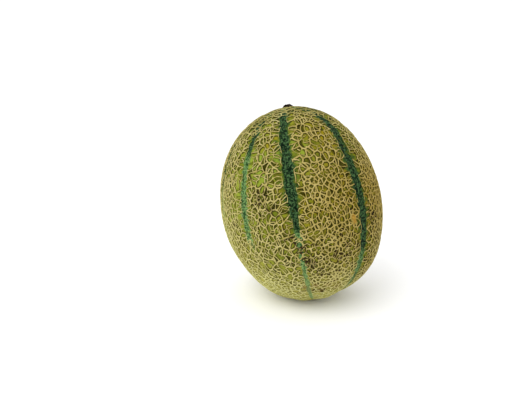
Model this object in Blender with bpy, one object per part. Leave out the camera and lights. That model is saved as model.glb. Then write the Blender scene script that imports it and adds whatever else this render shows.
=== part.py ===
"""A rock melon: a round netted fruit with ten smooth green sutures and a raised corky net.

The fruit stands on a small flat spot at its blossom end and leans a little. It grew as one piece, so it is
one closed solid. The cells of its net are laid out on a sphere of radius 1, where the fruit's stem end is up,
and each point of that sphere is then carried to the fruit's own surface: strand crests at full height, and
the rind between them sunk. Metres, +Z up, with the origin in the middle of the flat spot.
"""

import math
import random

import bmesh
import bpy
import numpy as np
from mathutils import Matrix, Vector

# The fruit's body, measured over the crests of its net
HALF_LENGTH = 0.0778
HALF_WIDTH = 0.0635
BLOSSOM_FULLNESS = 0.02  # share by which the blossom half is wider than the stem half
SHOULDER_FULLNESS = 0.03  # share by which both shoulders are fuller than an ellipsoid's
LEAN_LEFT = math.radians(10.0)  # of the stem end, towards -X
LEAN_BACK = math.radians(3.4)  # of the stem end, towards +Y
FLAT_SPOT_RADIUS = 0.017

# Broad unevenness of the body: longitude, angle from the stem end and reach in degrees, height
SWELLS = (
    (82, 130, 20, 0.0017),
    (-82, 130, 22, -0.0017),
    (80, 160, 18, -0.0009),
    (82, 60, 22, -0.0008),
    (-84, 55, 22, 0.0006),
    (172, 95, 34, -0.0012),
    (222, 62, 26, 0.0008),
)

# Sutures: the smooth stripes from end to end, each with its share of the full width.
# Longitude 0 faces -Y, and 90 faces +X
SUTURES = (
    (-70.0, 0.85),
    (-37.3, 0.8),
    (-1.9, 1.0),
    (44.1, 1.0),
    (84.0, 0.95),
    (118.3, 0.85),
    (152.7, 1.0),
    (187.0, 0.9),
    (221.3, 1.0),
    (255.7, 0.85),
)
SUTURE_HALF_WIDTH = 0.0037  # at the fruit's widest, to the crests beside it, and less towards the ends
SUTURE_NARROWING = 0.6  # power of the sine that narrows it
SUTURE_DEPTH = 0.0009  # of the shallow groove that a suture lies in
GROOVE_HALF_WIDTH = 0.0065
SUTURE_END = math.radians(15.0)  # how near to each pole a suture comes
SUTURE_STAGGER = 0.4  # share of that angle by which they start at different heights

# The net, larger than life: the real cells are about half as wide
CELL_SPACING = 0.0074  # least distance between the middles of two cells
NET_HEIGHT = 0.0012  # of the strands' crests over the rind
STRAND_HALF_WIDTH = 0.0011
STRAND_RISE = 1.3  # suture half-widths from a suture to where strands reach their full height
SHORTEST_STRAND = 0.0020  # shorter ones shrink to a crossing of four strands
ROW_JITTER = 0.25  # share of the spacing by which the cells beside a suture are out of line
ROW_GAPS = 0.06  # share of those cells that other cells of the net stand in for
ROW_CROWDING = 1.5  # of those cells at the ends, in suture half-widths
DRAWS = 16000
SEED = 7

# The stem end: a shallow dip with the dry stub of the stem, in a ring of narrow cells
DIP_RADIUS = 0.010
DIP_DEPTH = 0.0009
STUB_RADIUS = 0.0037
STUB_HEIGHT = 0.0031  # over the rind
STUB_STEPS = ((1.22, 0.2), (0.95, 0.5), (1.06, 1.0), (0.66, 1.0), (0.46, 0.7))  # of its radius, of its height
RING_RADIUS = 0.0105
RING_CELLS = 12

# Faces carry the part of the fruit that they belong to as their material's number
RIND, NET, SUTURE, STUB = range(4)


def clear_scene():
    for thing in list(bpy.data.objects):
        bpy.data.objects.remove(thing, do_unlink=True)


def make_material(name, colour, roughness):
    """A dry or waxy finish of one colour."""
    material = bpy.data.materials.new(name)
    material.use_nodes = True
    shader = material.node_tree.nodes["Principled BSDF"]
    shader.inputs["Base Color"].default_value = (*colour, 1.0)
    shader.inputs["Roughness"].default_value = roughness
    shader.inputs["Metallic"].default_value = 0.0
    return material


def direction_at(longitude, from_stem):
    """The unit direction at a longitude and an angle from the stem end, both in radians."""
    sine = math.sin(from_stem)
    return Vector((sine * math.sin(longitude), -sine * math.cos(longitude), math.cos(from_stem)))


def suture_distance(direction):
    """How far a unit direction lies from the nearest suture, in metres on the fruit."""
    longitude = math.atan2(direction.x, -direction.y)
    from_stem = math.acos(max(-1.0, min(1.0, direction.z)))
    turns = ((longitude - math.radians(degrees)) / math.tau for degrees, _ in SUTURES)
    nearest = math.tau * min(abs(turn - round(turn)) for turn in turns)
    beyond_end = max(0.0, SUTURE_END - from_stem, from_stem - (math.pi - SUTURE_END))
    return HALF_WIDTH * math.hypot(nearest * math.sin(from_stem), beyond_end)


def bell(distance, reach):
    """1 in the middle, falling smoothly to nearly nothing at twice the reach."""
    return math.exp(-((distance / reach) ** 2))


def body_point(direction, sunk=0.0):
    """The fruit's surface at the level of the net's crests, or sunk under it, for a unit direction."""
    cosine = direction.z
    width = HALF_WIDTH * (1 - BLOSSOM_FULLNESS * cosine + SHOULDER_FULLNESS * cosine**2)
    point = Vector((width * direction.x, width * direction.y, HALF_LENGTH * cosine))
    rise = -sunk - SUTURE_DEPTH * bell(suture_distance(direction), GROOVE_HALF_WIDTH)
    rise -= DIP_DEPTH * bell(HALF_WIDTH * direction.angle(Vector((0, 0, 1))), DIP_RADIUS)
    for longitude, from_stem, reach, height in SWELLS:
        middle = direction_at(math.radians(longitude), math.radians(from_stem))
        rise += height * bell(direction.angle(middle), math.radians(reach))
    return point + rise * point.normalized()


def crest_height(direction):
    """The height of a strand over the rind: full on the lobes, and lower where it ends at a suture."""
    return NET_HEIGHT * min(1.0, suture_distance(direction) / (STRAND_RISE * SUTURE_HALF_WIDTH))


def cells_along_sutures(draw):
    """Middles of the cells on the sutures, and of the net cells beside them with the room that each keeps."""
    on_sutures, beside = [], []
    for degrees, share in SUTURES:
        longitude = math.radians(degrees)
        from_stem = SUTURE_END * (1 + draw.uniform(0, SUTURE_STAGGER))
        while from_stem < math.pi - SUTURE_END:
            on_sutures.append(direction_at(longitude, from_stem))
            half_width = share * SUTURE_HALF_WIDTH * math.sin(from_stem) ** SUTURE_NARROWING
            sideways = 2 * half_width / (HALF_WIDTH * math.sin(from_stem))
            for side in (-sideways, sideways):
                along = from_stem + draw.uniform(-ROW_JITTER, ROW_JITTER) * CELL_SPACING / HALF_WIDTH
                if draw.random() > ROW_GAPS:
                    beside.append((direction_at(longitude + side, along), ROW_CROWDING * half_width))
            metres_per_radian = math.hypot(HALF_LENGTH * math.sin(from_stem), HALF_WIDTH * math.cos(from_stem))
            from_stem += CELL_SPACING / metres_per_radian
    return on_sutures, beside


def place_cells():
    """Unit directions of all cells' middles, each with its part of the fruit."""
    draw = random.Random(SEED)
    on_sutures, wanted = cells_along_sutures(draw)
    placed = [(direction, SUTURE) for direction in on_sutures]
    placed.append((Vector((0, 0, 1)), STUB))
    ring = RING_RADIUS / HALF_WIDTH
    placed += [(direction_at(math.tau * (turn + 0.5) / RING_CELLS, ring), NET) for turn in range(RING_CELLS)]
    for _ in range(DRAWS):
        longitude = draw.uniform(-math.pi, math.pi)
        wanted.append((direction_at(longitude, math.acos(draw.uniform(-1, 1))), CELL_SPACING))
    points = np.zeros((len(placed) + len(wanted), 3))
    points[: len(placed)] = [body_point(direction) for direction, _ in placed]
    for direction, spacing in wanted:
        point = body_point(direction)
        if np.linalg.norm(points[: len(placed)] - point, axis=1).min() > spacing:
            points[len(placed)] = point
            placed.append((direction, NET))
    return placed


def lay_out_cells(placed):
    """A sphere of radius 1 whose faces are the cells: all that lies nearer to one middle than to the others."""
    hull = bmesh.new()
    middles = [hull.verts.new(direction) for direction, _ in placed]
    bmesh.ops.convex_hull(hull, input=middles, use_existing_faces=False)
    bmesh.ops.recalc_face_normals(hull, faces=hull.faces)
    sphere = bmesh.new()
    corner_of = {face: sphere.verts.new(face.normal.normalized()) for face in hull.faces}
    for middle, (direction, part) in zip(middles, placed):
        east = direction.orthogonal().normalized()
        north = direction.cross(east)
        corners = [corner_of[face] for face in middle.link_faces]
        corners.sort(key=lambda corner: math.atan2(corner.co.dot(north), corner.co.dot(east)))
        sphere.faces.new(corners).material_index = part
    hull.free()
    return sphere


def raise_net(skin):
    """Sinks the net cells' floors, which leaves their edges as strands, and carries all to the fruit."""
    strand = STRAND_HALF_WIDTH / HALF_WIDTH
    bmesh.ops.remove_doubles(skin, verts=skin.verts, dist=SHORTEST_STRAND / HALF_WIDTH)
    crests = set(skin.verts)
    floors = [face for face in skin.faces if face.material_index == NET]
    bmesh.ops.inset_individual(skin, faces=floors, thickness=strand, use_even_offset=True)
    for floor in floors:
        floor.material_index = RIND
    stripes = [face for face in skin.faces if face.material_index == SUTURE]
    edging = bmesh.ops.inset_region(skin, faces=stripes, thickness=strand, use_even_offset=True)
    for face in edging["faces"]:
        face.material_index = NET
    for vert in skin.verts:
        direction = vert.co.normalized()
        height = crest_height(direction) if vert in crests else 0.0
        vert.co = body_point(direction, sunk=NET_HEIGHT - height)


def grow_stub(skin):
    """Draws the dry stub of the stem out of the cell at the stem end, with a scar sunk in its top."""
    top = next(face for face in skin.faces if face.material_index == STUB)
    middle = top.calc_center_median()
    outward = middle.normalized()
    spokes = [(vert.co - middle).normalized() for vert in top.verts]
    base = middle - outward * NET_HEIGHT
    for width, height in STUB_STEPS:
        grown = bmesh.ops.extrude_discrete_faces(skin, faces=[top])
        top = grown["faces"][0]
        for vert, spoke in zip(top.verts, spokes):
            vert.co = base + spoke * STUB_RADIUS * width + outward * STUB_HEIGHT * height


def stand_up(skin):
    """Leans the fruit, presses its lowest part flat, and brings the middle of the flat spot to the origin."""
    lean = Matrix.Rotation(-LEAN_BACK, 3, "X") @ Matrix.Rotation(-LEAN_LEFT, 3, "Y")
    bmesh.ops.rotate(skin, matrix=lean, verts=skin.verts)
    end_radius = HALF_WIDTH**2 / HALF_LENGTH
    level = min(vert.co.z for vert in skin.verts) + FLAT_SPOT_RADIUS**2 / (2 * end_radius)
    pressed = [vert for vert in skin.verts if vert.co.z < level]
    for vert in pressed:
        vert.co.z = level
    spans = [[vert.co[axis] for vert in pressed] for axis in range(3)]
    middle = Vector((min(span) + max(span)) / 2 for span in spans)
    bmesh.ops.translate(skin, vec=-middle, verts=skin.verts)


def make_melon():
    """The whole fruit as one closed mesh, with a material for each part of its skin."""
    skin = lay_out_cells(place_cells())
    raise_net(skin)
    grow_stub(skin)
    stand_up(skin)
    mesh = bpy.data.meshes.new("rock_melon")
    skin.to_mesh(mesh)
    skin.free()
    mesh.materials.append(make_material("yellow_green_rind", (0.24, 0.26, 0.055), 0.5))
    mesh.materials.append(make_material("tan_net", (0.42, 0.33, 0.14), 0.8))
    mesh.materials.append(make_material("dark_green_suture", (0.03, 0.09, 0.04), 0.45))
    mesh.materials.append(make_material("dry_brown_stub", (0.05, 0.03, 0.015), 0.9))
    mesh.shade_smooth()
    mesh.set_sharp_from_angle(angle=math.radians(50))
    melon = bpy.data.objects.new("rock_melon", mesh)
    bpy.context.scene.collection.objects.link(melon)


clear_scene()
make_melon()
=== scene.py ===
import math

import bmesh
import bpy
import numpy as np
from mathutils import Matrix, Vector, noise


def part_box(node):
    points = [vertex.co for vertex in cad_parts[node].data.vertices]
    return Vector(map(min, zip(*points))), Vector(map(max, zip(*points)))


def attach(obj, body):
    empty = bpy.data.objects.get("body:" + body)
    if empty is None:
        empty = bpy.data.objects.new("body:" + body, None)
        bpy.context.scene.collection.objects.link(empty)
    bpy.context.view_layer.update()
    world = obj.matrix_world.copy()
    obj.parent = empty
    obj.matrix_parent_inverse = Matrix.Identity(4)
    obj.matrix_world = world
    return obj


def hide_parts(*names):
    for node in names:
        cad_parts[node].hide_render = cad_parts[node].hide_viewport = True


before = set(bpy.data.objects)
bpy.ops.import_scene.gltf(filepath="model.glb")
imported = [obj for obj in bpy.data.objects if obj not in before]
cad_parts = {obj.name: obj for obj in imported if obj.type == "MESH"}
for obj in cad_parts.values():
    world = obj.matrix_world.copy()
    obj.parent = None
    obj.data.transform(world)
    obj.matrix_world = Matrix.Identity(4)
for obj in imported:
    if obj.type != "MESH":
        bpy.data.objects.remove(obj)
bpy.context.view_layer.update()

# Netted skin
# A rock melon grows its skin in one piece: a thin waxy rind drawn into ten lobes by smooth green sutures.
# On the lobes the rind cracks while the fruit swells, and the cracks heal as a raised net of tan cork.
# The net follows cells of its own, which no primitive has, so the skin is laid out cell by cell.

# The fruit's body over the net's crests, in its own frame with the stem end up, in metres
HALF_LENGTH = 0.0778
HALF_WIDTH = 0.0635
BLOSSOM_FULLNESS = 0.02
SHOULDER_FULLNESS = 0.03
SWELLS = (  # longitude, angle from the stem end and reach in degrees, height in metres
    (82, 130, 20, 0.0017),
    (-82, 130, 22, -0.0017),
    (80, 160, 18, -0.0009),
    (82, 60, 22, -0.0008),
    (-84, 55, 22, 0.0006),
    (172, 95, 34, -0.0012),
    (222, 62, 26, 0.0008),
)
SUTURE_DEPTH = 0.0009
GROOVE_HALF_WIDTH = 0.0065
SUTURE_END = math.radians(15.0)
DIP_RADIUS = 0.010
DIP_DEPTH = 0.0009

# How it stands: on a small flat spot, with its stem end leaning to the left and a little back
LEAN_LEFT = math.radians(10.0)
LEAN_BACK = math.radians(3.4)
FLAT_SPOT_RADIUS = 0.017

# Sutures: half-widths in mm where dark and beyond, the angles from the stem end between which they are
# dark, where they end, how dark they are beyond the dark part, two stretches on which they are free of net,
# how much they narrow towards the ends, and how far they wander aside at the shoulder. Angles in degrees.
SUTURE_COLUMNS = (
    "longitude", "dark_width", "pale_width", "dark_from", "dark_to", "end", "pale_depth",
    "bare_from", "bare_to", "bare_again_from", "bare_again_to", "taper", "wander",
)
SUTURES = np.array([
    (-70.0, 2.4, 1.8, 26, 70, 125, 0.30, 30, 118, 0, 0, 0.8, 0.0),
    (-38.0, 3.3, 2.9, 18, 52, 106, 0.56, 40, 98, 0, 0, 0.3, 2.0),
    (-2.8, 4.8, 2.0, 12, 96, 160, 0.42, 25, 99, 115, 158, 0.58, -0.8),
    (44.1, 4.7, 3.0, 10, 116, 162, 0.60, 32, 154, 0, 0, 0.5, 5.4),
    (84.0, 3.6, 2.4, 24, 105, 150, 0.50, 30, 140, 0, 0, 0.8, 1.5),
    (118.3, 3.0, 2.2, 24, 90, 140, 0.45, 34, 130, 0, 0, 0.7, -2.0),
    (152.7, 4.1, 2.4, 20, 100, 155, 0.50, 28, 145, 0, 0, 0.8, 2.5),
    (187.0, 3.4, 2.2, 22, 88, 140, 0.40, 36, 112, 122, 140, 0.8, -1.5),
    (221.3, 4.3, 2.5, 20, 104, 156, 0.60, 30, 148, 0, 0, 0.8, 2.0),
    (255.7, 3.1, 2.3, 24, 92, 150, 0.45, 34, 128, 0, 0, 0.8, -2.5),
], dtype=[(column, float) for column in SUTURE_COLUMNS])
BARE_STRETCHES = ("bare_from", "bare_to"), ("bare_again_from", "bare_again_to")
SHOULDER, SHOULDER_REACH = 37, 16
MM = 0.001

# How far before and after its angle in the table a suture changes, in degrees
DARKENS, PALES, NARROWS, STARTS, ENDS = (-6, 6), (-5, 10), (-26, 6), (-10, 0), (-12, 4)


def unit(longitude, from_stem):
    """Unit directions at longitudes and angles from the stem end, in radians."""
    sine = np.sin(from_stem)
    return np.stack((sine * np.sin(longitude), -sine * np.cos(longitude), np.cos(from_stem)), axis=-1)


def unit_rows(vectors):
    """Vectors, one in each row, brought to a length of 1."""
    return vectors / np.linalg.norm(vectors, axis=1)[:, None]


def angles(directions):
    """Longitudes and angles from the stem end of unit directions, in radians."""
    return np.arctan2(directions[:, 0], -directions[:, 1]), np.arccos(np.clip(directions[:, 2], -1, 1))


def bell(distance, reach):
    """1 in the middle, falling smoothly to nearly nothing at twice the reach."""
    return np.exp(-((distance / reach) ** 2))


def step(value, low, high):
    """0 below low, 1 above high, and a smooth rise between."""
    share = np.clip((value - low) / (high - low), 0, 1)
    return share * share * (3 - 2 * share)


def change(degrees, angle, span):
    """A smooth rise from 0 to 1 at an angle, over the span before and after it."""
    return step(degrees, angle + span[0], angle + span[1])


def spots(directions, places):
    """The sum of soft spots: longitude, angle from the stem end and reach in degrees, then height."""
    total = np.zeros(len(directions))
    for longitude, from_stem, reach, height in places:
        middle = unit(math.radians(longitude), math.radians(from_stem))
        away = np.arccos(np.clip(directions @ middle, -1, 1))
        total += height * bell(away, math.radians(reach))
    return total


def patches(directions, scale, pattern):
    """Smooth noise from -1 to 1 over the fruit, in patches of about 1 / scale of its radius."""
    shift = Vector((pattern, 2 * pattern, 3 * pattern))
    return np.array([noise.noise(Vector(direction) * scale + shift) for direction in directions])


def suture_longitudes(from_stem):
    """The longitudes of all sutures at angles from the stem end, in radians."""
    shoulder = bell(np.degrees(from_stem)[..., None] - SHOULDER, SHOULDER_REACH)
    return np.radians(SUTURES["longitude"] + SUTURES["wander"] * shoulder)


def nearest_suture(directions):
    """The number of the nearest suture, and the distance to its middle in metres."""
    longitude, from_stem = angles(directions)
    turns = (longitude[:, None] - suture_longitudes(from_stem)) / math.tau
    gaps = math.tau * np.abs(turns - np.round(turns))
    sine = np.hypot(directions[:, 0], directions[:, 1])
    return gaps.argmin(axis=1), HALF_WIDTH * gaps.min(axis=1) * sine


def suture_dark(which, from_stem):
    """How dark the numbered sutures are at angles from the stem end, from 0 to 1."""
    row = SUTURES[which]
    degrees = np.degrees(from_stem)
    return change(degrees, row["dark_from"], DARKENS) * (1 - change(degrees, row["dark_to"], PALES))


def suture_half_width(which, from_stem):
    """The coloured half-width of the numbered sutures, in metres."""
    row = SUTURES[which]
    narrow = change(np.degrees(from_stem), row["dark_to"], NARROWS)
    wide = row["dark_width"] + (row["pale_width"] - row["dark_width"]) * narrow
    return MM * wide * np.sin(from_stem) ** row["taper"]


def half_axes(cosine):
    """The body's half-width, twice, and its half-length at cosines of the angle from the stem end."""
    width = HALF_WIDTH * (1 - BLOSSOM_FULLNESS * cosine + SHOULDER_FULLNESS * cosine**2)
    return np.stack((width, width, np.full_like(width, HALF_LENGTH)), axis=1)


def on_fruit(directions, sunk=0.0):
    """Points on the fruit at the level of the net's crests, or sunk under it, in the fruit's own frame."""
    points = directions * half_axes(directions[:, 2])
    _, from_stem = angles(directions)
    _, gap = nearest_suture(directions)
    beyond_end = np.maximum(0, np.maximum(SUTURE_END - from_stem, from_stem - (math.pi - SUTURE_END)))
    rise = spots(directions, SWELLS) - sunk
    rise -= SUTURE_DEPTH * bell(np.hypot(gap, HALF_WIDTH * beyond_end), GROOVE_HALF_WIDTH)
    rise -= DIP_DEPTH * bell(HALF_WIDTH * from_stem, DIP_RADIUS)
    return points + rise[:, None] * points / np.linalg.norm(points, axis=1)[:, None]


def off_fruit(points):
    """The unit directions of points on or near the fruit."""
    return unit_rows(points / half_axes(points[:, 2] / HALF_LENGTH))


# The net's cells in metres: across the lobe and along it, near its borders and in its middle. They are
# coarser round the stem, and finer near the blossom end, where they also turn to lie across the fruit.
ACROSS_BORDER, ACROSS_MIDDLE = 0.0043, 0.0026
ALONG_BORDER, ALONG_MIDDLE = 0.0031, 0.0044
LOBE_BORDER, LOBE_MIDDLE = 0.0045, 0.0125
STEM_REGION, BLOSSOM_REGION, CROSSWISE_REGION = (15, 42), (105, 135), (108, 132)
STEM_COARSENESS, BLOSSOM_FINENESS, UNEVENNESS = 0.35, 0.15, 0.20
CROSSWISE_WIDER, CROSSWISE_SHORTER = 0.45, 0.25
COARSE_SPOTS = (  # longitude, angle from the stem end, reach in degrees, how much coarser the net is
    (-18, 58, 18, 0.55),
    (8, 46, 13, 0.45),
    (-40, 42, 9, 0.40),
    (30, 40, 10, 0.25),
    (-12, 108, 8, 0.30),
    (24, 88, 22, -0.16),
    (-54, 85, 16, -0.22),
    (62, 85, 16, -0.18),
    (20, 125, 20, -0.12),
    (132, 60, 24, 0.28),
    (205, 75, 26, 0.28),
    (170, 105, 22, -0.15),
    (238, 60, 20, 0.25),
)


def cell_size(directions):
    """The usual distance between the middles of cells, across the lobe and along it, in metres."""
    _, from_stem = angles(directions)
    _, gap = nearest_suture(directions)
    degrees = np.degrees(from_stem)
    middle = step(gap, LOBE_BORDER, LOBE_MIDDLE)
    coarse = 1 + UNEVENNESS * patches(directions, scale=3.2, pattern=5.0) + spots(directions, COARSE_SPOTS)
    coarse *= 1 - BLOSSOM_FINENESS * step(degrees, *BLOSSOM_REGION)
    coarse *= 1 + STEM_COARSENESS * (1 - step(degrees, *STEM_REGION))
    crosswise = step(degrees, *CROSSWISE_REGION)
    across = (ACROSS_BORDER + (ACROSS_MIDDLE - ACROSS_BORDER) * middle) * coarse
    along = (ALONG_BORDER + (ALONG_MIDDLE - ALONG_BORDER) * middle) * coarse
    return across * (1 + CROSSWISE_WIDER * crosswise), along * (1 - CROSSWISE_SHORTER * crosswise)


# How the middles of cells are strewn: their sizes as shares of the usual one, the edge of a bare suture in
# degrees and as a share of its width, and the cells' slant, which begins this far from a suture in metres
SIZE_SPREAD, SMALLEST, LARGEST = 0.42, 0.5, 1.75
FIXED_SIZE = 0.8
BARE_MARGIN, BARE_ROOM = 1, 1.5
MOST_SLANT = math.radians(42)
SLANT_FROM, SLANT_FULL = 0.004, 0.009


def is_bare(which, gap, from_stem):
    """Where the numbered sutures and their edges are free of net."""
    row = SUTURES[which]
    degrees = np.degrees(from_stem)
    bare = np.zeros(len(gap), bool)
    for start, end in BARE_STRETCHES:
        bare |= (degrees > row[start] - BARE_MARGIN) & (degrees < row[end] + BARE_MARGIN)
    return bare & (gap < BARE_ROOM * suture_half_width(which, from_stem))


def scatter(draw, fixed, draws, scale, stretch=1.0):
    """Directions of the fixed middles and of as many more as find room between them."""
    longitude = draw.uniform(-math.pi, math.pi, draws)
    tries = unit(longitude, np.arccos(draw.uniform(-1, 1, draws)))
    sizes = scale * np.clip(np.exp(SIZE_SPREAD * draw.standard_normal(draws)), SMALLEST, LARGEST)
    which, gap = nearest_suture(tries)
    free = ~is_bare(which, gap, angles(tries)[1])
    tries, longitude, sizes, gap = tries[free], longitude[free], sizes[free], gap[free]
    across, along = cell_size(tries)
    along = along * stretch
    east = np.stack((np.cos(longitude), np.sin(longitude), np.zeros_like(longitude)), axis=1)
    north = np.cross(tries, east)
    slant = MOST_SLANT * step(gap, SLANT_FROM, SLANT_FULL) * patches(tries, scale=5.0, pattern=71.0)
    cosine, sine = np.cos(slant)[:, None], np.sin(slant)[:, None]
    east, north = cosine * east + sine * north, cosine * north - sine * east
    upward = 2 * tries / (across + along)[:, None]
    measures = np.stack((east / across[:, None], north / along[:, None], upward), axis=2)
    count = len(fixed)
    directions = list(fixed)
    places = np.zeros((len(tries) + count, 3))
    taken = np.full(len(tries) + count, FIXED_SIZE * scale)
    if count:
        places[:count] = on_fruit(np.array(fixed))
    for direction, place, measure, size in zip(tries, on_fruit(tries), measures, sizes):
        gaps = (places[:count] - place) @ measure
        if (np.einsum("ij,ij->i", gaps, gaps) < ((taken[:count] + size) / 2) ** 2).any():
            continue
        places[count] = place
        taken[count] = size
        directions.append(direction)
        count += 1
    return np.array(directions)


# Cells along the bare sutures and in rows beside them: steps in metres, and ways aside as shares of the
# suture's half-width
SUTURE_STEP, SUTURE_ASIDE = 0.0026, (-0.22, 0.22)
BESIDE_STEP, BESIDE_ASIDE = (0.0020, 0.0044), (0.78, 1.25)
BARE_SHARE = 0.86
LOBE, SUTURE, SCAR = range(3)


def bare_steps(number, pick):
    """Angles from the stem end where the numbered suture is bare, with picked distances between."""
    row = SUTURES[number]
    for start, end in BARE_STRETCHES:
        from_stem = math.radians(row[start])
        while from_stem < math.radians(row[end]):
            yield from_stem
            per_radian = math.hypot(HALF_LENGTH * math.sin(from_stem), HALF_WIDTH * math.cos(from_stem))
            from_stem += pick() / per_radian


def suture_rows(draw):
    """Cells along the sutures where they are free of net, and the rows of net cells beside them."""
    rows, kinds = [], []

    def add(number, from_stem, away, kind):
        longitude = suture_longitudes(from_stem)[number]
        rows.append(unit(longitude + away / (HALF_WIDTH * math.sin(from_stem)), from_stem))
        kinds.append(kind)

    for number in range(len(SUTURES)):
        for from_stem in bare_steps(number, lambda: SUTURE_STEP):
            away = suture_half_width(number, from_stem) * draw.uniform(*SUTURE_ASIDE)
            add(number, from_stem, away, SUTURE)
        for side in (-1, 1):
            for from_stem in bare_steps(number, lambda: draw.uniform(*BESIDE_STEP)):
                away = 2 * BARE_SHARE * suture_half_width(number, from_stem) * draw.uniform(*BESIDE_ASIDE)
                add(number, from_stem, side * away, LOBE)
    return rows, kinds


def side_of(first, second):
    """The name of the side between two corners, the same from both its cells."""
    return min(first, second), max(first, second)


def neighbours(loop):
    """Each corner of a loop with the one after it."""
    return zip(loop, loop[1:] + loop[:1])


SHORTEST_STRAND = 0.0008
MERGING_ROUNDS = 3


def merge_short_sides(corners, loops):
    """Merges corners that are too close for a strand between them, where all cells stay whole."""
    cells_at = [set() for _ in corners]
    for cell, loop in enumerate(loops):
        for corner in loop:
            cells_at[corner].add(cell)

    def beside(corner):
        near = set()
        for cell in cells_at[corner]:
            at = loops[cell].index(corner)
            near |= {loops[cell][at - 1], loops[cell][(at + 1) % len(loops[cell])]}
        return near

    for _ in range(MERGING_ROUNDS):
        pairs = {side_of(*pair) for loop in loops for pair in neighbours(loop)}
        pairs = sorted((np.linalg.norm(corners[one] - corners[other]), one, other) for one, other in pairs)
        merged = set()
        for length, first, second in pairs:
            if length > SHORTEST_STRAND / HALF_WIDTH:
                break
            shared = cells_at[first] & cells_at[second]
            triangles = [cell for cell in shared if len(loops[cell]) == 3]
            tips = {corner for cell in triangles for corner in loops[cell]} - {first, second}
            if merged & {first, second} or len(shared) != 2 or beside(first) & beside(second) != tips:
                continue
            merged |= {first, second, *tips}
            corners[first] = (corners[first] + corners[second]) / 2
            for cell in cells_at[second]:
                loop = loops[cell]
                if cell in triangles:
                    for corner in loop:
                        if corner != second:
                            cells_at[corner].discard(cell)
                    loop.clear()
                elif cell in shared:
                    loop.remove(second)
                else:
                    loop[loop.index(second)] = first
                    cells_at[first].add(cell)
            cells_at[second] = set()


def lay_out(directions):
    """Corners of all cells as unit directions, and each cell's loop of corners with its number."""
    hull = bmesh.new()
    middles = [hull.verts.new(direction) for direction in directions]
    bmesh.ops.convex_hull(hull, input=middles, use_existing_faces=False)
    bmesh.ops.recalc_face_normals(hull, faces=hull.faces)
    hull.verts.index_update()
    hull.faces.index_update()
    triangles = directions[[[vert.index for vert in face.verts] for face in hull.faces]]
    corners = np.cross(triangles[:, 1] - triangles[:, 0], triangles[:, 2] - triangles[:, 0])
    corners *= np.sign(np.einsum("ij,ij->i", corners, triangles[:, 0]))[:, None]
    corners = unit_rows(corners)
    loops = []
    for middle in middles:
        start = around = middle.link_loops[0]
        loop = []
        while not loop or around != start:
            loop.append(around.face.index)
            around = around.link_loop_prev.link_loop_radial_next
        loops.append(loop)
    hull.free()
    merge_short_sides(corners, loops)
    used = sorted({corner for loop in loops for corner in loop})
    numbers = {corner: number for number, corner in enumerate(used)}
    cells = [([numbers[corner] for corner in loop], cell) for cell, loop in enumerate(loops) if loop]
    return unit_rows(corners[used]), cells


def lobe_of(directions):
    """The number of the lobe that a direction lies on."""
    longitude, _ = angles(directions)
    borders = np.sort(np.radians((SUTURES["longitude"] + 180) % 360 - 180))
    return np.searchsorted(borders, longitude) % len(borders)


# Where the cells lie: along the sutures, round both scars, round the knots where many strands meet, and
# strewn between. Neighbouring cells form groups, with bold strands round each group and finer ones inside.
SEED = 7
DRAWS, GROUP_DRAWS = 70000, 16000
GROUP_SIZE, GROUP_STRETCH = 1.75, 1.25
OTHER_LOBE = 0.5
SCAR_RINGS = (  # angle from the stem end, cells in the ring, distance out to it in metres
    (0.0, 13, 0.0080),
    (math.pi, 11, -0.0088),
)
# Knots where many strands meet: longitude and angle from the stem end in degrees
STARS = (-23, 77.5), (21, 102), (135, 88), (204, 112), (240, 70)
STAR_RAYS, STAR_RADIUS = 9, 0.0049
RAY_TURN, RAY_STRETCH = (-0.2, 0.2), (0.98, 1.02)
SWAY = 0.010

draw = np.random.default_rng(SEED)
rows, kinds = suture_rows(draw)
for from_stem, ring, out in SCAR_RINGS:
    rows.append(unit(0.0, from_stem))
    kinds.append(SCAR)
    for turn in range(ring):
        rows.append(unit(math.tau * turn / ring, from_stem + out / HALF_WIDTH))
        kinds.append(LOBE)
for longitude, from_stem in np.radians(STARS):
    for ray in range(STAR_RAYS):
        turn = math.tau * (ray + draw.uniform(*RAY_TURN)) / STAR_RAYS
        out = STAR_RADIUS / HALF_WIDTH * draw.uniform(*RAY_STRETCH)
        aside = out * math.cos(turn) / math.sin(from_stem)
        rows.append(unit(longitude + aside, from_stem + out * math.sin(turn)))
        kinds.append(LOBE)
middles = scatter(draw, rows, DRAWS, 1.0)
kinds = np.array(kinds + [LOBE] * (len(middles) - len(rows)))
groups_at = scatter(draw, [], GROUP_DRAWS, GROUP_SIZE, GROUP_STRETCH)
apart = np.linalg.norm(on_fruit(middles)[:, None] - on_fruit(groups_at)[None], axis=2)
apart += OTHER_LOBE * (lobe_of(middles)[:, None] != lobe_of(groups_at)[None])
groups = apart.argmin(axis=1)

corners, cells = lay_out(middles)
sway = np.stack([patches(corners, scale=9.0, pattern=pattern) for pattern in (11.0, 23.0, 37.0)], axis=1)
corners = unit_rows(corners + SWAY * sway)

# Strands: how firm they are, from 0 for none to 1, and their half-widths in metres, as ranges to draw from.
# Some of the fine ones and of those beside a suture are left out, and some stop short as dead ends. Long
# ones bend once or twice, and all are bolder in patches and round the knots.
BARE_WIDTH = 0.0003
BORDER_FIRM, BORDER_WIDTH, BORDER_GAPS = (0.4, 0.8), 0.00038, 0.62
MAIN_FIRM, MAIN_WIDTH = (0.85, 1.0), (0.00058, 0.00092)
FINE_FIRM, FINE_WIDTH, FINE_GAPS = (0.52, 0.88), (0.00034, 0.00060), 0.18
DEAD_ENDS, DEAD_END_FIRM = 0.14, 0.85
UNEVEN_WIDTH = (0.85, 1.1)
BOW = (-0.15, 0.15)
ONE_BEND, TWO_BENDS = 0.0028, 0.0060
SUTURE_BENDS = (0.13, 0.87)
BOLD_PATCHES, BOLD_STARS = 0.22, (5.5, 0.45)


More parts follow.
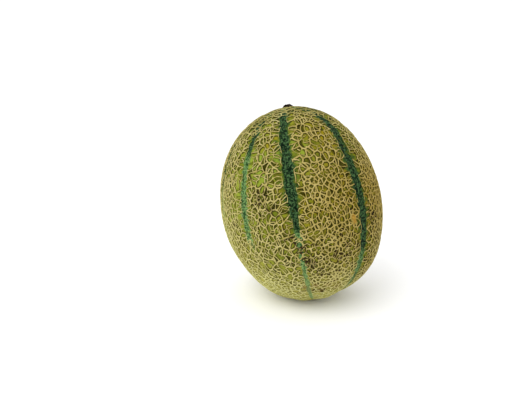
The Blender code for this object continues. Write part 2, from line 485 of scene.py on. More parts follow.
def grow_strand(sutures, same_group):
    """How firm and how wide a strand is, by what lies on its two sides."""
    if sutures == 2:
        return 0.0, BARE_WIDTH
    if sutures == 1:
        return (draw.uniform(*BORDER_FIRM) if draw.random() > BORDER_GAPS else 0.0), BORDER_WIDTH
    if not same_group:
        return draw.uniform(*MAIN_FIRM), draw.uniform(*MAIN_WIDTH)
    firm, width = draw.uniform(*FINE_FIRM), draw.uniform(*FINE_WIDTH)
    return (0.0 if draw.random() < FINE_GAPS else firm), width


sides = {}
for loop, cell in cells:
    for pair in neighbours(loop):
        sides.setdefault(side_of(*pair), []).append(cell)
places = on_fruit(corners)
bold = 1 + BOLD_PATCHES * patches(corners, scale=3.5, pattern=51.0)
bold = bold + spots(corners, [(*star, *BOLD_STARS) for star in STARS])
crest_directions = list(corners)
strength = [0.0] * len(corners)
half_width = [[] for _ in corners]
strands = [None] * len(corners)
between = {}
for (first, second), pair in sides.items():
    length = np.linalg.norm(places[first] - places[second])
    sutures = int(kinds[pair[0]] == SUTURE) + int(kinds[pair[-1]] == SUTURE)
    bow = draw.uniform(*BOW)
    firm, width = grow_strand(sutures, groups[pair[0]] == groups[pair[-1]])
    width *= bold[first]
    dead_end = firm < DEAD_END_FIRM and draw.random() < DEAD_ENDS
    if sutures == 2:
        bow = 0.0
        shares = SUTURE_BENDS
    else:
        count = max(int(length >= ONE_BEND) + int(length >= TWO_BENDS), int(dead_end))
        shares = [(part + 1) / (count + 1) for part in range(count)]
    start, end = corners[first], corners[second]
    aside = np.cross(start, end)
    aside *= bow * np.linalg.norm(end - start) / (np.linalg.norm(aside) + 1e-12)
    between[first, second] = list(range(len(crest_directions), len(crest_directions) + len(shares)))
    for part, share in enumerate(shares):
        direction = start + (end - start) * share + aside * math.sin(math.pi * share)
        crest_directions.append(direction / np.linalg.norm(direction))
        strength.append(0.0 if dead_end and part == len(shares) - 1 else firm)
        strands.append((first, second, firm))
        half_width.append(width * draw.uniform(*UNEVEN_WIDTH))
    for end_number in (first, second):
        strength[end_number] = max(strength[end_number], firm)
        half_width[end_number].append(width if firm else BARE_WIDTH)

# Soft spots of the finish and where they lie, some of them painted light and shade. Pale stretches and the
# band also have a weaker net.
MARKS = {  # longitude, angle from the stem end and reach in degrees, then strength
    # Paler rind with a weaker net, and painted light: bounce light from the floor on the lower part and a
    # painted reflection along the left side
    "pale_and_bounce_lit": (
        (-72, 120, 34, 0.9), (-60, 148, 26, 0.6), (-80, 85, 18, 0.45), (0, 165, 22, 0.5),
        (35, 140, 20, 0.35), (150, 160, 25, 0.5), (240, 120, 30, 0.5), (66, 122, 19, -0.85),
    ),
    "band": (
        (-45, 62, 3.2, 0.9), (-45, 68, 3.2, 1.0), (-45, 74, 3.2, 1.0), (-45, 80, 3.2, 1.0),
        (-44.5, 86, 3.2, 0.9), (-44, 92, 3, 0.7),
    ),
    "gold": (
        (-15, 47, 6, 1.0), (-7, 75, 5, 1.0), (34, 48, 11, 0.9), (4, 80, 6, 0.8), (9, 88, 6, 0.8),
        (-11, 92, 4, 0.5), (60, 70, 25, 0.5), (140, 80, 25, 0.6), (210, 60, 20, 0.6),
        (170, 110, 22, 0.5),
    ),
    "warm": (
        (18, 135, 14, 0.7), (24, 85, 26, 0.8), (62, 85, 24, 1.0), (22, 45, 18, 0.5),
        (-50, 108, 12, 0.4), (40, 130, 25, 0.5), (140, 80, 30, 0.7), (205, 70, 26, 0.5),
        (230, 110, 26, 0.6),
    ),
    "fresh": (
        (-52, 80, 12, 1.0), (-20, 58, 18, 0.9), (-20, 100, 18, 0.5), (7, 52, 14, 0.7),
        (170, 100, 24, 0.6), (232, 80, 20, 0.6),
    ),
    # Painted shade darkening the top round the stem, with some of the rind's own dark green mottling
    "shaded_top": (
        (0, 0, 13, 0.8), (3, 20, 6, 0.9), (5, 36, 4, 0.6), (60, 20, 9, 1.0), (82, 27, 7, 0.9),
        (50, 36, 4, 0.6), (-41, 30, 7, 0.9), (-36, 44, 4, 0.7), (-60, 20, 8, 0.8),
        (150, 22, 9, 0.9), (220, 24, 10, 0.9),
    ),
    "frost": ((-12, 27, 4, 0.9), (-5, 21, 3, 0.5), (-58, 50, 8, 0.3), (190, 30, 6, 0.7)),
    "rust": (
        (-6, 134, 1.6, 0.9), (4, 133, 2.0, 0.8), (9, 139, 2.2, 0.8), (-12, 139, 1.6, 0.6),
        (-3, 138, 2.4, 0.5), (14, 134, 2.6, 0.5), (21, 131, 2.2, 0.4), (25, 138, 3.5, 0.5),
        (60, 135, 3, 0.5), (160, 128, 3, 0.7), (215, 136, 2.5, 0.8),
    ),
    "scab": (
        (-24, 77, 4.5, 1.0), (-17, 84, 3.5, 0.9), (-7, 98, 2.5, 0.9), (-3, 106, 3.5, 0.9),
        (3, 115, 4, 1.0), (9, 122, 3, 0.9), (22, 116, 3, 0.7), (28, 108, 2.5, 0.8),
        (51, 98, 4, 0.6), (9, 137, 5, 0.5), (-3, 137, 3, 0.5), (120, 70, 4, 0.7),
        (140, 112, 5, 0.7), (186, 84, 4, 0.7), (214, 100, 5, 0.7), (250, 70, 4, 0.6),
    ),
    "knot": ((35, 94, 1.7, 1.4), (35.5, 97, 1.5, 1.4), (138, 86, 1.8, 1.3)),
}
BLOSSOM_END, BLOSSOM_WEAKNESS = (135, 160), 0.25
PALE_WEAKNESS, BAND_WEAKNESS = 0.22, 0.38

crest_directions = np.array(crest_directions)
crests = on_fruit(crest_directions)
# A corner takes the second widest of the strands that meet at it.
half_width = np.array([sorted(each)[-2] if isinstance(each, list) else each for each in half_width])
pale_and_bounce_lit = np.clip(spots(crest_directions, MARKS["pale_and_bounce_lit"]), 0, 1)
band = np.clip(spots(crest_directions, MARKS["band"]), 0, 1)
_, stem_angle = angles(crest_directions)
weakness = BLOSSOM_WEAKNESS * step(np.degrees(stem_angle), *BLOSSOM_END)
strength = np.array(strength) * (1 - weakness) * (1 - PALE_WEAKNESS * pale_and_bounce_lit) * (1 - BAND_WEAKNESS * band)

# Each cell's wall runs from the crests of its strands over a shoulder to the foot, and its floor is a fan
# from there to the cell's middle, or to two middles where the cell is long. The floor is crowned a little.
NET_HEIGHT = 0.0008
SHOULDER_RISE, SHOULDER_CORK, SHOULDER_OUT = 0.80, 0.75, 0.5  # shares of the crest's, and of the half-width
MISSING, MISSING_REACH = 0.05, 0.5  # how weak a missing strand is, and what stays of its wall's reach
WIDEST_SHARE, LEAST_REACH = 0.72, 0.00015  # the share of a cell's room that its wall takes at most
FOOT_SMOOTHING = 0.08
SHARPEST_TURN = -0.2  # cosine of the turn from which a corner is no longer mitred in full
LONG_CELL = 1.4
FLOOR_CROWN = 0.05
# The painted shade beside the strands reads these distances to the foot, and is strongest where they are
# short
CREST_GAP, LEAST_GAP = 0.0015, 0.0003  # distances to the foot that the finish reads
PLAIN_TINT = 0.5

# Threads for the next section: the room that each takes, how many are there, from what length a cell has one
# more, how far they bend, how many reach the other side, and how far the others go
THREAD_ROOM, THREAD_SHARE, THREAD_LONG_CELL = 0.0010, 0.62, 3
THREAD_BEND, THREAD_THROUGH, THREAD_SHORT = 0.5, 0.65, 0.3


def way_in(outline, middle):
    """At each point of a cell's outline, the way in from its strand, and the room to the cell's middle."""
    up = middle / np.linalg.norm(middle)
    inward = np.cross(up, np.roll(outline, -1, axis=0) - outline)
    inward /= np.linalg.norm(inward, axis=1)[:, None] + 1e-12
    before = np.roll(inward, 1, axis=0)
    meet = inward + before
    meet /= (1 + np.clip(np.einsum("ij,ij->i", inward, before), SHARPEST_TURN, 1))[:, None]
    return meet, np.einsum("ij,ij->i", middle - outline, inward)


def floor_of(outline, middle, room):
    """A cell's one or two floor middles, which one each outline point faces, and half the cell's length."""
    spread = outline - middle
    long_way = np.linalg.svd(spread, full_matrices=False)[2][0]
    reaches = spread @ long_way
    beyond = reaches > 0
    turns = np.count_nonzero(beyond != np.roll(beyond, -1))
    half_length = min(reaches.max(), -reaches.min())
    if turns == 2 and half_length > LONG_CELL * room:
        aside = long_way * (half_length - room)
        return [middle - aside, middle + aside], beyond.astype(int), half_length
    return [middle], np.zeros(len(outline), int), half_length


points, sunk, cork, foot_gaps, tints = [], [], [], [], []


def add_points(places, depth, corky, gap, tint):
    """Adds points of the skin, with their depth under the crests and what the finish reads there."""
    points.extend(places)
    for values, each in ((sunk, depth), (cork, corky), (foot_gaps, gap), (tints, tint)):
        values.extend(np.broadcast_to(each, len(places)))


add_points(crests, NET_HEIGHT * (1 - strength), strength, CREST_GAP * (1 - strength), PLAIN_TINT)
cell_tints = draw.random(len(middles))
faces = []
threads = []
for loop, cell in cells:
    ring = []
    for first, second in neighbours(loop):
        inner = between[side_of(first, second)]
        ring += [first, *(inner if first < second else inner[::-1])]
    outline = crests[ring]
    middle = outline.mean(axis=0)
    meet, spans = way_in(outline, middle)
    room = spans.min()
    firm = strength[ring]
    reach = half_width[ring] * np.where(firm > MISSING, 1.0, MISSING_REACH)
    reach = np.minimum(reach, max(WIDEST_SHARE * room, LEAST_REACH))[:, None]
    shoulder = outline + SHOULDER_OUT * reach * meet
    foot = outline + reach * meet
    beside = np.roll(foot, 1, axis=0) + np.roll(foot, -1, axis=0)
    foot = (1 - 2 * FOOT_SMOOTHING) * foot + FOOT_SMOOTHING * beside
    floor_middles, faced, half_length = floor_of(outline, middle, room)
    middle_gap = (room if len(floor_middles) == 2 else 0.5 * (room + spans.mean())) - reach.mean()
    count = len(ring)
    base = len(points)
    tint = cell_tints[cell]
    strand_gap = CREST_GAP * (1 - firm)
    floor_depth = NET_HEIGHT - FLOOR_CROWN * max(room, 0.0)
    add_points(shoulder, NET_HEIGHT * (1 - SHOULDER_RISE * firm), SHOULDER_CORK * firm, strand_gap, tint)
    add_points(foot, NET_HEIGHT, 0.0, strand_gap, tint)
    add_points(floor_middles, floor_depth, 0.0, max(middle_gap, LEAST_GAP), tint)
    for k in range(count):
        after = (k + 1) % count
        faces.append((ring[k], ring[after], base + after, base + k))
        faces.append((base + k, base + after, base + count + after, base + count + k))
        here, there = base + 2 * count + faced[k], base + 2 * count + faced[after]
        faces.append((base + count + k, base + count + after, there))
        if here != there:
            faces.append((base + count + k, there, here))
    if kinds[cell] == LOBE and room > THREAD_ROOM:
        for _ in range(int(room / THREAD_ROOM) + (half_length > THREAD_LONG_CELL * room)):
            if draw.random() < THREAD_SHARE:
                one = draw.integers(count)
                other = (one + count // 2 + draw.integers(-1, 2)) % count
                bend = middle + THREAD_BEND * room * draw.uniform(-1, 1, 3)
                through = draw.random() < THREAD_THROUGH
                end = outline[other] if through else middle + THREAD_SHORT * (outline[other] - middle)
                threads.append((outline[one], bend, end, tint))

directions = off_fruit(np.array(points))
lean = Matrix.Rotation(-LEAN_BACK, 3, "X") @ Matrix.Rotation(-LEAN_LEFT, 3, "Y")
skin_points = on_fruit(directions, np.array(sunk)) @ np.array(lean).T
low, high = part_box("rock_melon")
end_radius = HALF_WIDTH**2 / HALF_LENGTH
level = skin_points[:, 2].min() + FLAT_SPOT_RADIUS**2 / (2 * end_radius)
aside = (np.array(low) + np.array(high) - skin_points.min(axis=0) - skin_points.max(axis=0)) / 2
stand = np.array((aside[0], aside[1], -level))
skin_points += stand
skin_points[:, 2] = np.maximum(skin_points[:, 2], 0.0)


def as_it_stands(points):
    """Points of the fruit's own frame, moved to where the fruit leans on its flat spot."""
    return points @ np.array(lean).T + stand


# What the finish reads besides the marks
BLOSSOM_SCAR_RADIUS = 0.0048
STRIPE_EDGE = 0.35
# Painted bounce light from the floor, paling the lower part towards the blossom end
BLOSSOM_BOUNCE_LIGHT, BLOSSOM_BOUNCE_LIGHT_REGION = 0.62, (107, 138)


def new_object(name, data):
    """A new object in the scene."""
    made = bpy.data.objects.new(name, data)
    bpy.context.scene.collection.objects.link(made)
    return made


def new_mesh(name, points, faces):
    """A smooth mesh."""
    mesh = bpy.data.meshes.new(name)
    mesh.from_pydata(points, [], faces)
    mesh.shade_smooth()
    return mesh


def new_skin(name, directions, points, faces, cork, foot_gap, tint):
    """A mesh object of the skin, with what its finish reads stored at its points."""
    which, gap = nearest_suture(directions)
    _, from_stem = angles(directions)
    row = SUTURES[which]
    degrees = np.degrees(from_stem)
    beyond = row["pale_depth"] * (1 - change(degrees, row["end"], ENDS))
    depth = np.maximum(suture_dark(which, from_stem), beyond) * change(degrees, row["dark_from"], STARTS)
    edge = STRIPE_EDGE * patches(directions, scale=16.0, pattern=91.0)
    values = {label: spots(directions, places) for label, places in MARKS.items()}
    # painted bounce light from the floor, added towards the blossom end
    values["pale_and_bounce_lit"] = values["pale_and_bounce_lit"] + BLOSSOM_BOUNCE_LIGHT * step(degrees, *BLOSSOM_BOUNCE_LIGHT_REGION)
    values["cork"] = cork
    values["foot_gap"] = foot_gap
    values["tint"] = tint
    values["stripe"] = 1 - gap / suture_half_width(which, from_stem) + edge
    values["depth"] = depth
    values["scar"] = (math.pi - from_stem) * HALF_WIDTH / BLOSSOM_SCAR_RADIUS
    mesh = new_mesh(name, points, faces)
    for label, each in values.items():
        layer = mesh.attributes.new(label, "FLOAT", "POINT")
        layer.data.foreach_set("value", np.array(each, np.float32))
    return new_object(name, mesh)


class Wire:
    """An output of a node in a material. Arithmetic on it adds Math nodes."""

    def __init__(self, socket):
        self.socket = socket

    def node(self, kind, settings, sockets, output=0):
        """Adds a node, gives it its settings, then its sockets' values or links, and returns an output."""
        tree = self.socket.id_data
        made = tree.nodes.new(kind)
        for name, value in settings.items():
            setattr(made, name, value)
        for name, value in sockets.items():
            if isinstance(value, Wire):
                tree.links.new(value.socket, made.inputs[name])
            else:
                made.inputs[name].default_value = value
        return Wire(made.outputs[output])

    def math(self, operation, first, second=0.0):
        return self.node("ShaderNodeMath", {"operation": operation}, {0: first, 1: second})

    def __add__(self, other):
        return self.math("ADD", self, other)

    def __mul__(self, other):
        return self.math("MULTIPLY", self, other)

    def __sub__(self, other):
        return self.math("SUBTRACT", self, other)

    def __rsub__(self, other):
        return self.math("SUBTRACT", other, self)

    __radd__ = __add__
    __rmul__ = __mul__

    def between(self, low, high):
        """0 where this is below low, 1 where it is above high, and a smooth rise between."""
        settings = {"interpolation_type": "SMOOTHSTEP"}
        return self.node("ShaderNodeMapRange", settings, {"Value": self, "From Min": low, "From Max": high})

    def ragged(self, amount, grain):
        """This with a grain added, which makes a border drawn from it ragged."""
        return self + amount * (grain - 0.5)

    def tint(self, colour, other):
        """The first colour where this is 0 and the other where it is 1."""
        return self.node("ShaderNodeMix", {"data_type": "RGBA"}, {0: self, 6: colour, 7: other}, output=2)

    def grain(self, size, detail=2.0, roughness=0.5):
        """Noise from 0 to 1 at these coordinates, with grains of about the size given in metres."""
        sockets = {"Vector": self, "Scale": 1 / size, "Detail": detail, "Roughness": roughness}
        return self.node("ShaderNodeTexNoise", {}, sockets)

    def attribute(self, name):
        """What the mesh has stored at its points under this name."""
        return self.node("ShaderNodeAttribute", {"attribute_name": name}, {}, output=2)


def paint(red, green, blue):
    """A colour as the shaders take it, from its values on a screen, 0 to 255."""
    screen = (value / 255 for value in (red, green, blue))
    light = (share / 12.92 if share <= 0.04045 else ((share + 0.055) / 1.055) ** 2.4 for share in screen)
    return (*light, 1.0)


def new_finish(name):
    """An empty material, with its shader and the object's own coordinates."""
    material = bpy.data.materials.new(name)
    material.use_nodes = True
    shader = material.node_tree.nodes["Principled BSDF"]
    coordinates = material.node_tree.nodes.new("ShaderNodeTexCoord")
    return material, shader, Wire(coordinates.outputs["Object"])


def wire_up(shader, colour, roughness, specular, relief, depth, strength):
    """Connects a finish: its colour, its roughness, and a fine relief with its depth in metres."""
    bump = relief.node("ShaderNodeBump", {}, {"Height": relief, "Distance": depth, "Strength": strength})
    for name, wire in (("Base Color", colour), ("Roughness", roughness), ("Normal", bump)):
        shader.id_data.links.new(wire.socket, shader.inputs[name])
    shader.inputs["Specular IOR Level"].default_value = specular


def layered(colour, *layers):
    """A colour with others laid over it, each where its mask says."""
    for mask, other in layers:
        colour = mask.tint(colour, other)
    return colour


# Colours of the rind between the strands. A pair runs from a grain's dark to its light.
GREENS = paint(95, 106, 22), paint(124, 125, 30)
WARM_GREEN, FRESH_GREEN, GOLDEN_GREEN = paint(124, 104, 22), paint(122, 144, 46), paint(134, 118, 16)
# The pale green is paler rind with painted light from the floor; the dusky green is painted shade on the top
PALE_LIT_GREEN, BAND_GREEN, HALO_GREEN, SHADED_TOP_GREEN = (
    paint(158, 153, 74), paint(140, 152, 50), paint(44, 74, 22), paint(36, 54, 20)
)
# Painted shade in the rind beside and under the strands, partly the real dark margin of the cracks
SHADE_NEAR_STRANDS, SHADE_UNDER_STRANDS = paint(72, 68, 14), paint(32, 28, 1)
# Colours of the sutures: far from the stem, and in the dark part's middle and at its edges
# The pale teal is painted light from the floor on the lower sutures
TEALS, PALE_LIT_TEAL = (paint(18, 62, 26), paint(120, 154, 90)), paint(130, 148, 92)
CORE_GREENS = paint(3, 20, 7), paint(66, 96, 56)
FLANK_GREENS = paint(12, 34, 10), paint(64, 90, 38)
# Colours of the cork, and of the scar at the blossom end
CORKS, WARM_CORKS = (paint(138, 127, 60), paint(179, 168, 112)), (paint(138, 116, 44), paint(169, 147, 82))
# The pale cork is lighter cork with painted light from the floor; the dusky cork is painted shade on the top
PALE_LIT_CORK, SHADED_TOP_CORK, FROSTED_CORK = paint(195, 192, 128), paint(124, 118, 62), paint(200, 196, 140)
SCAB_RIND, SCAB_CORK = paint(22, 16, 8), paint(74, 60, 42)
RUST_RIND, RUST_CORK = paint(98, 62, 30), paint(112, 70, 38)
KNOT_CORKS = paint(142, 108, 40), paint(174, 142, 64)
SCAR_RIM, SCAR_MIDDLE = (paint(120, 92, 50), paint(158, 134, 84)), paint(70, 50, 28)

# Below, a number before a mask is how fully its colour covers, and between() sets the mask's border.
material, shader, place = new_finish("netted_rind")
pale_and_bounce_lit, band, gold, warm, fresh, shaded_top, frost, rust, scab, knot = (place.attribute(label) for label in MARKS)
cork_height, foot_gap, tint, stripe, depth, scar = (
    place.attribute(label) for label in ("cork", "foot_gap", "tint", "stripe", "depth", "scar")
)
fine = place.grain(0.0007)
medium = place.grain(0.0030)
speckle = place.grain(0.0019, detail=3.0, roughness=0.6)
fleck = place.grain(0.0011)
specks = 0.45 * speckle + 0.55 * fleck

lively = tint.between(0.0, 1.0)
halo = stripe.ragged(3.2, medium).between(-0.8, 0.1) * depth.between(0.4, 0.9)
# Masks of painted shade in the cells next to the strands, where the strands shade the floor; partly the
# cracks' own dark margin
near = 1 - foot_gap.ragged(0.0006, fleck).between(0.0003, 0.0010)
edge = 1 - foot_gap.ragged(0.0004, fleck).between(0.0001, 0.0005)
rind = layered(
    lively.tint(*GREENS),
    (warm * (0.4 + 0.6 * lively), WARM_GREEN),
    (fresh * tint.between(0.35, 0.8), FRESH_GREEN),
    (gold * tint.between(0.1, 0.5), GOLDEN_GREEN),
    # paler rind and painted light from the floor
    (0.85 * pale_and_bounce_lit, PALE_LIT_GREEN),
    (0.55 * band, BAND_GREEN),
    (0.75 * halo, HALO_GREEN),
    # painted shade over the top round the stem, with some real mottling
    (0.85 * shaded_top.ragged(2.6, medium).between(0.30, 0.75), SHADED_TOP_GREEN),
    # painted shade beside and under the strands, partly the cracks' dark margin
    ((0.75 - 0.35 * pale_and_bounce_lit) * near, SHADE_NEAR_STRANDS),
    ((0.92 - 0.4 * pale_and_bounce_lit - 0.22 * fresh) * edge, SHADE_UNDER_STRANDS),
)
core = specks.between(0.43, 0.64).tint(*CORE_GREENS)
flank = specks.between(0.40, 0.60).tint(*FLANK_GREENS)
suture = layered(
    specks.between(0.41, 0.60).tint(*TEALS),
    (depth.between(0.3, 0.95), stripe.ragged(0.6, medium).between(0.05, 0.35).tint(flank, core)),
    # painted light from the floor on the lower sutures
    (0.6 * pale_and_bounce_lit * (1 - depth.between(0.45, 0.7)), PALE_LIT_TEAL),
)
marked = stripe.ragged(1.6, specks).ragged(1.1, medium).between(-0.16, 0.20)
scabby = scab.between(0.2, 0.8)
rind = layered(
    rind,
    (marked * depth.between(0.0, 0.4), suture),
    (0.9 * scabby * specks.between(0.44, 0.56) * (0.3 + 0.7 * edge), SCAB_RIND),
    (0.7 * rust, RUST_RIND),
)
weathered = (0.5 * fleck + 0.5 * medium).between(0.3, 0.7)
grainy = fleck.between(0.3, 0.7)
strand = layered(
    weathered.tint(*CORKS),
    (0.8 * warm, weathered.tint(*WARM_CORKS)),
    # paler cork and painted light from the floor
    (0.7 * pale_and_bounce_lit, PALE_LIT_CORK),
    # painted shade over the top round the stem
    (0.7 * shaded_top, SHADED_TOP_CORK),
    (0.55 * frost, FROSTED_CORK),
    (0.7 * scabby * fleck.between(0.4, 0.6), SCAB_CORK),
    (0.8 * rust * fleck.between(0.35, 0.6), RUST_CORK),
    (knot.between(0.4, 0.9), grainy.tint(*KNOT_CORKS)),
)
cover = (cork_height.ragged(0.22, fleck) + knot).between(0.32, 0.60)
base = layered(
    rind,
    (cover, strand),
    (1 - scar.ragged(0.5, fleck).between(0.85, 1.05), grainy.tint(*SCAR_RIM)),
    (1 - scar.ragged(0.8, medium).between(0.20, 0.40), SCAR_MIDDLE),
)
wire_up(shader, base, 0.55 + 0.3 * cover, 0.03, fine * (0.25 + 0.75 * cover), depth=0.00025, strength=0.6)

skin = new_skin("netted_skin", directions, skin_points, faces, cork, foot_gaps, tints)
skin.data.materials.append(material)
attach(skin, "root")
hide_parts("rock_melon")

# Cork threads
# Fine threads of the same cork cross the larger cells of the net, lower and thinner than its strands, and
# some end free in the cell. They grew out of small cracks in the rind and have the skin's own finish.
THREAD_HALF_WIDTH, THREAD_STEPS = 0.00060, 4
THREAD_SIZE = (0.80, 1.50)
THREAD_HEIGHT, THREAD_FOOT = 0.55, 0.90
# The threads' feet carry the same painted shade as the strands' feet
THREAD_CORK, THREAD_GAPS = [0.0, 0.95, 0.0], [0.0003, 0.0, 0.0003]
LOWEST_THREAD = 0.0006

thread_points, thread_faces, thread_tints = [], [], []
for start, bend, end, tint in threads:
    size = draw.uniform(*THREAD_SIZE)
    shares = np.linspace(0, 1, THREAD_STEPS)[:, None]
    path = off_fruit((1 - shares) ** 2 * start + 2 * shares * (1 - shares) * bend + shares**2 * end)
    if as_it_stands(on_fruit(path, NET_HEIGHT))[:, 2].min() < LOWEST_THREAD:
        continue
    crest = on_fruit(path, NET_HEIGHT * (1 - THREAD_HEIGHT * size))
    foot = on_fruit(path, THREAD_FOOT * NET_HEIGHT)
    sideways = np.cross(path, np.gradient(foot, axis=0))
    sideways *= size * THREAD_HALF_WIDTH / np.linalg.norm(sideways, axis=1)[:, None]
    first = len(thread_points) * 3 * THREAD_STEPS
    last = first + 3 * (THREAD_STEPS - 1)
    thread_points.append(np.stack((foot + sideways, crest, foot - sideways), axis=1).reshape(-1, 3))
    thread_tints += [tint] * 3 * THREAD_STEPS
    for near in range(first, last, 3):
        far = near + 3
        for side, after in ((0, 1), (1, 2), (2, 0)):
            thread_faces.append((near + side, near + after, far + after, far + side))
    thread_faces.append((first + 2, first + 1, first))
    thread_faces.append((last, last + 1, last + 2))
thread_steps = len(thread_points) * THREAD_STEPS
thread_points = np.concatenate(thread_points)
cork_threads = new_skin(
    "cork_threads", off_fruit(thread_points), as_it_stands(thread_points), thread_faces,
    THREAD_CORK * thread_steps, THREAD_GAPS * thread_steps, thread_tints,
)
cork_threads.data.materials.append(material)
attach(cork_threads, "root")

# Dark crusts
# Where the growing rind was scratched or bitten, it bled and healed as small black-brown crusts of dry
# cork. They sit on the net's strands in a few loose chains and clusters, grown into the skin.
CRUST_CLUSTERS = (  # longitude, angle from the stem end, reach across, reach along in degrees, count
    (-24, 77, 3.5, 3.5, 16),
    (-18.5, 84, 2.5, 1.5, 8),
    (-7.5, 98, 2.0, 2.0, 8),
    (-4, 102, 1.5, 1.5, 4),
    (4, 104, 5.0, 1.0, 5),
    (-2, 107, 1.5, 1.5, 5),
    (0, 111, 2.0, 2.0, 9),
    (4, 116, 2.5, 3.0, 14),
    (8, 120, 1.8, 1.8, 6),
    (21.5, 115, 1.8, 2.2, 9),
    (18, 123.5, 1.8, 1.0, 4),
    (29, 110, 1.5, 2.5, 7),
    (23.5, 101, 2.5, 2.5, 4),
    (36.5, 110.5, 0.4, 0.4, 2),
    (51.5, 98, 1.4, 1.4, 12),
    (34, 91, 1.5, 3.0, 3),
    (-49, 90, 1.5, 1.5, 2),
    (-12, 113, 5.0, 3.0, 4),
    (8, 138, 6.0, 2.0, 5),
    (120, 70, 3.0, 3.0, 12),
    (141, 111, 3.5, 3.0, 14),
    (186, 84, 3.0, 3.5, 13),
    (214, 101, 3.5, 2.5, 15),
    (250, 70, 2.5, 2.5, 9),
    (95, 120, 2.5, 2.5, 8),
)
CRUST_LENGTH, CRUST_WIDTH, CRUST_HEIGHT = 0.0027, 0.0009, 0.0007
CRUST_SIZES = (0.50, 1.05)
CRUST_OFFSET, CRUST_SUNK = 0.0004, 0.00012
CRUST_STRAY, CRUST_STRAND_FIRM = 0.8, 0.3
LUMP_HEIGHT, LUMP_SCALE = 0.6, 3
CRUST_COLOURS = paint(24, 17, 6), paint(74, 56, 30)

bpy.ops.object.select_all(action="DESELECT")
bpy.ops.mesh.primitive_ico_sphere_add(subdivisions=2, radius=0.5)
lump = bpy.context.object
crust_shape = np.array([vert.co for vert in lump.data.vertices])
crust_faces = np.array([face.vertices[:] for face in lump.data.polygons])
bpy.data.objects.remove(lump)
strand_numbers = np.array(
    [number for number, strand in enumerate(strands) if strand and strand[2] > CRUST_STRAND_FIRM]
)
strand_longitudes, strand_angles = np.degrees(angles(crest_directions[strand_numbers]))
crust_points = []
for longitude, from_stem, across, along, count in CRUST_CLUSTERS:
    aside = (strand_longitudes - longitude + 180) % 360 - 180
    away = np.hypot(aside * math.sin(math.radians(from_stem)) / across, (strand_angles - from_stem) / along)
    nearest = np.argsort(away + draw.uniform(0, CRUST_STRAY, len(away)))[:count]
    for number in strand_numbers[nearest]:
        first, second, _ = strands[number]
        up = crest_directions[number]
        ahead = corners[second] - corners[first]
        ahead -= up * (ahead @ up)
        ahead /= np.linalg.norm(ahead)
        sideways = np.cross(up, ahead)
        shift = Vector((len(crust_points), 0, 0))
        swells = [noise.noise(Vector(vert) * LUMP_SCALE + shift) for vert in crust_shape]
        lumps = 1 + LUMP_HEIGHT * np.array(swells)
        size = draw.uniform(*CRUST_SIZES) * np.array((CRUST_LENGTH, CRUST_WIDTH, CRUST_HEIGHT))
        foot = on_fruit(up[None], CRUST_SUNK)[0] + sideways * CRUST_OFFSET * draw.choice((-1, 1))
        crust_points.append(foot + (crust_shape * lumps[:, None] * size) @ np.array((ahead, sideways, up)))
faces = [face + len(crust_shape) * number for number in range(len(crust_points)) for face in crust_faces]
mesh = new_mesh("dark_crusts", as_it_stands(np.concatenate(crust_points)), faces)
crusts = new_object("dark_crusts", mesh)

material, shader, place = new_finish("dark_crust")
grain = place.grain(0.0006, detail=3.0)
dry = grain.between(0.35, 0.7).tint(*CRUST_COLOURS)
wire_up(shader, dry, 0.7 + 0.25 * grain, 0.05, grain, depth=0.0002, strength=0.7)
crusts.data.materials.append(material)
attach(crusts, "root")

# Stem stub
# The vine let go of the fruit and left the dry end of its stem: a dark woody stub with a flared foot, five
# blunt ridges and a sunk, ragged top. It sits in the dip at the stem end and is part of the fruit.
STUB_RADIUS = 0.0037
STUB_HEIGHT = 0.0027
STUB_SIDES = 40
STUB_FOOT, STUB_SUNK = 1.35, 0.0015
STUB_PROFILE = (  # from the foot up: share of the radius, share of the height
    (1.30, 0.05), (1.10, 0.26), (0.95, 0.50), (0.78, 0.76),
    (0.58, 0.98), (0.38, 1.04), (0.22, 0.90), (0.10, 0.84),
)
STUB_RIDGES, RIDGE_SWELL, RIDGE_RISE = 5, 0.06, 0.00015
STUB_OVAL, STUB_OVAL_TURN = 0.05, 1.0
RAGGED_SCALE, RAGGED_HEIGHT = 700, 0.0004
STUB_ASIDE = 0.0020
BARK_COLOURS = paint(10, 6, 2), paint(74, 58, 32)

bpy.ops.object.select_all(action="DESELECT")
bpy.ops.mesh.primitive_circle_add(
    vertices=STUB_SIDES, radius=STUB_RADIUS * STUB_FOOT, fill_type="NGON", location=(0, 0, -STUB_SUNK)
)
stub = bpy.context.object
stub.name = "stem_stub"
bpy.ops.object.transform_apply(location=True, rotation=False, scale=False)
bpy.ops.object.mode_set(mode="EDIT")
bpy.ops.mesh.select_all(action="SELECT")
radius, level = STUB_FOOT, -STUB_SUNK
for share, height in STUB_PROFILE:
    rise = height * STUB_HEIGHT - level
    bpy.ops.mesh.extrude_region_move(TRANSFORM_OT_translate={"value": (0, 0, rise)})
    bpy.ops.transform.resize(value=(share / radius, share / radius, 1))
    radius, level = share, height * STUB_HEIGHT
bpy.ops.mesh.select_all(action="SELECT")
bpy.ops.mesh.normals_make_consistent(inside=False)
bpy.ops.object.mode_set(mode="OBJECT")
for vert in stub.data.vertices:
    turn = math.atan2(vert.co.y, vert.co.x)
    out = math.hypot(vert.co.x, vert.co.y) / STUB_RADIUS
    ridge = math.cos(STUB_RIDGES * turn)
    ragged = noise.noise(vert.co * RAGGED_SCALE) * RAGGED_HEIGHT
    swell = 1 + RIDGE_SWELL * ridge * min(1, out) + STUB_OVAL * math.cos(2 * turn + STUB_OVAL_TURN)
    vert.co.x *= swell
    vert.co.y *= swell
    vert.co.z += ragged + (RIDGE_RISE * ridge if vert.co.z > 0 else 0)
smooth = stub.modifiers.new("smooth", "SUBSURF")
smooth.levels = smooth.render_levels = 2
bpy.ops.object.modifier_apply(modifier="smooth")
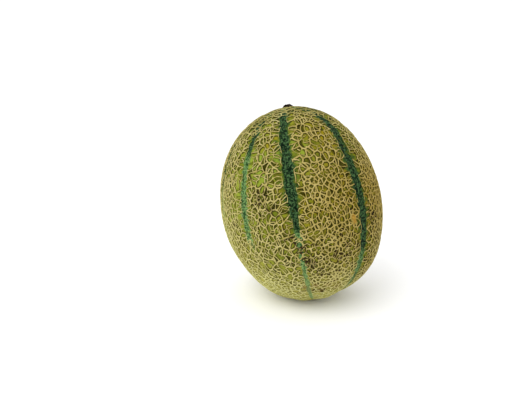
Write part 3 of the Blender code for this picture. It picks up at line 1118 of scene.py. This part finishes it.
pole = on_fruit(unit(np.zeros(1), np.zeros(1)), NET_HEIGHT)[0] + np.array((STUB_ASIDE, 0, 0))
stub.data.transform(Matrix.Translation(Vector(stand)) @ lean.to_4x4() @ Matrix.Translation(Vector(pole)))
bpy.ops.object.shade_smooth()

material, shader, place = new_finish("dry_stem")
grain = place.grain(0.0009, detail=4.0)
bark = grain.between(0.45, 0.80).tint(*BARK_COLOURS)
wire_up(shader, bark, 0.75 + 0.2 * grain, 0.1, grain, depth=0.0004, strength=0.8)
stub.data.materials.append(material)
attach(stub, "root")

# Floor
# A seamless pale studio floor, so wide that its edge never shows. It isn't part of the fruit.
FLOOR_SIZE = 40.0
FLOOR_TONES = paint(251, 251, 251), paint(253, 253, 253)

bpy.ops.object.select_all(action="DESELECT")
bpy.ops.mesh.primitive_plane_add(size=FLOOR_SIZE, location=(0, 0, 0))
floor = bpy.context.object
floor.name = "pale_floor"
material, shader, place = new_finish("pale_floor")
tone = place.grain(0.4).tint(*FLOOR_TONES)
material.node_tree.links.new(tone.socket, shader.inputs["Base Color"])
shader.inputs["Roughness"].default_value = 0.8
floor.data.materials.append(material)

# Light and camera
# Soft white light comes from all round, with a large soft lamp at the upper left.
# The camera stands in front of the fruit and looks down on it, at the photograph's angle.
SKY_STRENGTH = 1.11
LAMP_PLACE, LAMP_AIM = Vector((-0.55, -0.60, 0.75)), Vector((0, 0, 0.07))
LAMP_SIZE, LAMP_POWER = 1.0, 6
CAMERA_LENS, CAMERA_DISTANCE = 33.0, 0.3765
ELEVATION, YAW, PITCH = math.radians(13), math.radians(-5.52), math.radians(-12.57)

world = bpy.data.worlds.new("studio")
world.use_nodes = True
world.node_tree.nodes["Background"].inputs["Color"].default_value = (1, 1, 1, 1)
world.node_tree.nodes["Background"].inputs["Strength"].default_value = SKY_STRENGTH
bpy.context.scene.world = world

lamp_data = bpy.data.lights.new("key", "AREA")
lamp_data.shape = "DISK"
lamp_data.size = LAMP_SIZE
lamp_data.energy = LAMP_POWER
lamp = new_object("key", lamp_data)
lamp.location = LAMP_PLACE
lamp.rotation_euler = (LAMP_AIM - LAMP_PLACE).to_track_quat("-Z", "Y").to_euler()

camera_data = bpy.data.cameras.new("camera")
camera_data.lens = CAMERA_LENS
camera = new_object("camera", camera_data)
camera.location = Vector(stand) + CAMERA_DISTANCE * Vector((0, -math.cos(ELEVATION), math.sin(ELEVATION)))
look = Vector((math.sin(YAW) * math.cos(PITCH), math.cos(YAW) * math.cos(PITCH), math.sin(PITCH)))
camera.rotation_euler = look.to_track_quat("-Z", "Y").to_euler()
bpy.context.scene.camera = camera
bpy.context.scene.view_settings.view_transform = "Standard"
